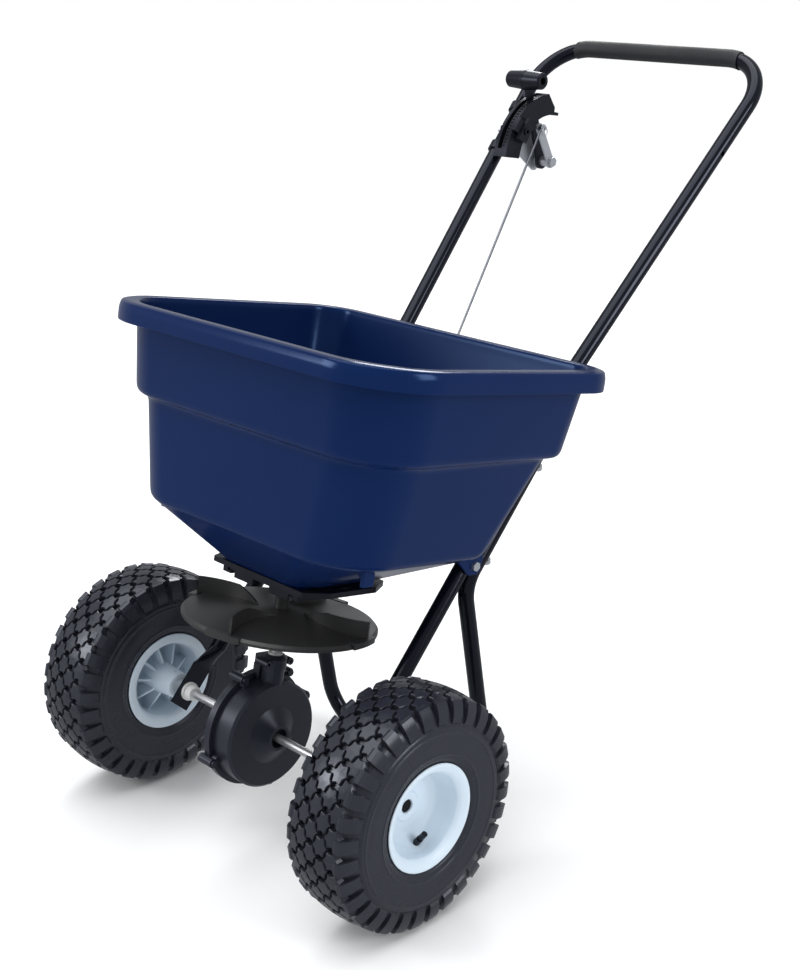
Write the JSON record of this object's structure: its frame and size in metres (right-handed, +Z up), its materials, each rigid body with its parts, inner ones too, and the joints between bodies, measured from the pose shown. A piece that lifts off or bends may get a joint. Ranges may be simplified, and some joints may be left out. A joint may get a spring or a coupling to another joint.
{
  "type": "push broadcast spreader",
  "caption": "Two-wheeled push broadcast spreader: hopper over a wheel-driven spinner, folding-free tube frame with stand, and a lever that opens a sliding gate.",
  "frame": {"origin": "middle of the footprint box at ground level", "axes": "-Y is the way it is pushed (the hopper's front), +Y is towards the handle, +X is the free wheel's side, +Z up; it stands on both tyres and the stand"},
  "size_m": [0.5372, 0.837, 0.8662],
  "materials": {
    "tube_paint": "gloss",
    "foam": "matt",
    "zinc": "satin",
    "nylon": "satin",
    "hopper_blue": "gloss",
    "black_plastic": "satin",
    "spinner_black": "satin",
    "gear_case": "matt",
    "gear_plastic": "satin",
    "gear_steel": "satin",
    "axle_steel": "satin",
    "rim_plastic": "satin",
    "tyre_rubber": "matt",
    "valve_rubber": "matt"
  },
  "bodies": {
    "frame": {"frame_tube_left": "tube_paint", "frame_tube_right": "tube_paint", "stand_tube": "tube_paint", "handle_tube": "tube_paint", "grip_sleeve": "foam", "frame_bolts": "zinc", "frame_nuts": "zinc", "handle_bolts": "zinc", "handle_nuts": "zinc", "lug_bolts": "zinc", "lug_nuts": "zinc", "axle_bushings": "nylon", "hopper": "hopper_blue", "outlet_plate": "black_plastic", "gearbox_near": "gear_case", "gearbox_far": "gear_case", "gearbox_screws": "black_plastic", "bearing_cap": "gear_case", "shaft_bush": "nylon", "crank_bracket": "zinc", "crank_pin": "zinc", "quadrant": "black_plastic", "pivot_bracket": "zinc", "quadrant_bolt": "zinc", "quadrant_nut": "zinc", "pivot_bolt": "zinc", "pivot_nut": "zinc"},
    "axle": {"axle": "axle_steel", "ring_gear": "gear_plastic", "axle_pins": "zinc", "rim_driven": "rim_plastic", "tyre_driven": "tyre_rubber", "valve_driven": "valve_rubber", "axle_washers": "zinc", "axle_caps": "black_plastic"},
    "free_wheel": {"rim_free": "rim_plastic", "tyre_free": "tyre_rubber", "valve_free": "valve_rubber"},
    "spinner": {"spinner_shaft": "axle_steel", "spinner": "spinner_black", "shaft_pins": "zinc", "pinion": "gear_steel", "agitator": "axle_steel"},
    "lever": {"lever_arm": "black_plastic", "lever_yoke": "zinc", "lever_grip": "black_plastic", "rod_pin": "zinc", "rod_clips": "zinc"},
    "rod": {"control_rod": "axle_steel", "rod_keeper": "zinc"},
    "crank": {"gate_crank": "zinc"},
    "gate": {"gate_plate": "black_plastic"},
    "stop": {"rate_stop": "black_plastic"}
  },
  "joints": [
    {"name": "axle_turn", "type": "hinge", "parent": "frame", "child": "axle", "pos_m": [0, -0.28554, 0.133], "axis": [1, 0, 0], "continuous": true},
    {"name": "free_wheel_turn", "type": "hinge", "parent": "frame", "child": "free_wheel", "pos_m": [0.2236, -0.28554, 0.133], "axis": [1, 0, 0], "continuous": true},
    {"name": "spinner_turn", "type": "hinge", "parent": "frame", "child": "spinner", "pos_m": [0, -0.25791, 0.27127], "axis": [0, 0.1959, 0.9806], "continuous": true},
    {"name": "lever_swing", "type": "hinge", "parent": "frame", "child": "lever", "pos_m": [-0.14679, 0.3543, 0.70883], "axis": [1, 0, 0], "range_deg": [0, 48]},
    {"name": "rod_swing", "type": "hinge", "parent": "lever", "child": "rod", "pos_m": [-0.12679, 0.32916, 0.75662], "axis": [1, 0, 0], "range_deg": [-48.5, 0.5]},
    {"name": "crank_swing", "type": "hinge", "parent": "frame", "child": "crank", "pos_m": [-0.042, -0.14339, 0.31365], "axis": [1, 0, 0], "range_deg": [-37.8, 0.5]},
    {"name": "gate_slide", "type": "slide", "parent": "frame", "child": "gate", "axis": [0, 0.9806, -0.1959], "range_m": [-0.0207, 0.0003]},
    {"name": "stop_swing", "type": "hinge", "parent": "frame", "child": "stop", "pos_m": [-0.12679, 0.3543, 0.70883], "axis": [1, 0, 0], "range_deg": [-28, 10]}
  ],
  "couplings": [
    {"joint": "spinner_turn", "follows": "axle_turn", "ratio": 5.3333},
    {"joint": "rod_swing", "follows": "lever_swing", "ratio": -1},
    {"joint": "crank_swing", "follows": "lever_swing", "ratio": -0.77718},
    {"joint": "gate_slide", "follows": "lever_swing", "m_per_rad": -0.024351}
  ]
}
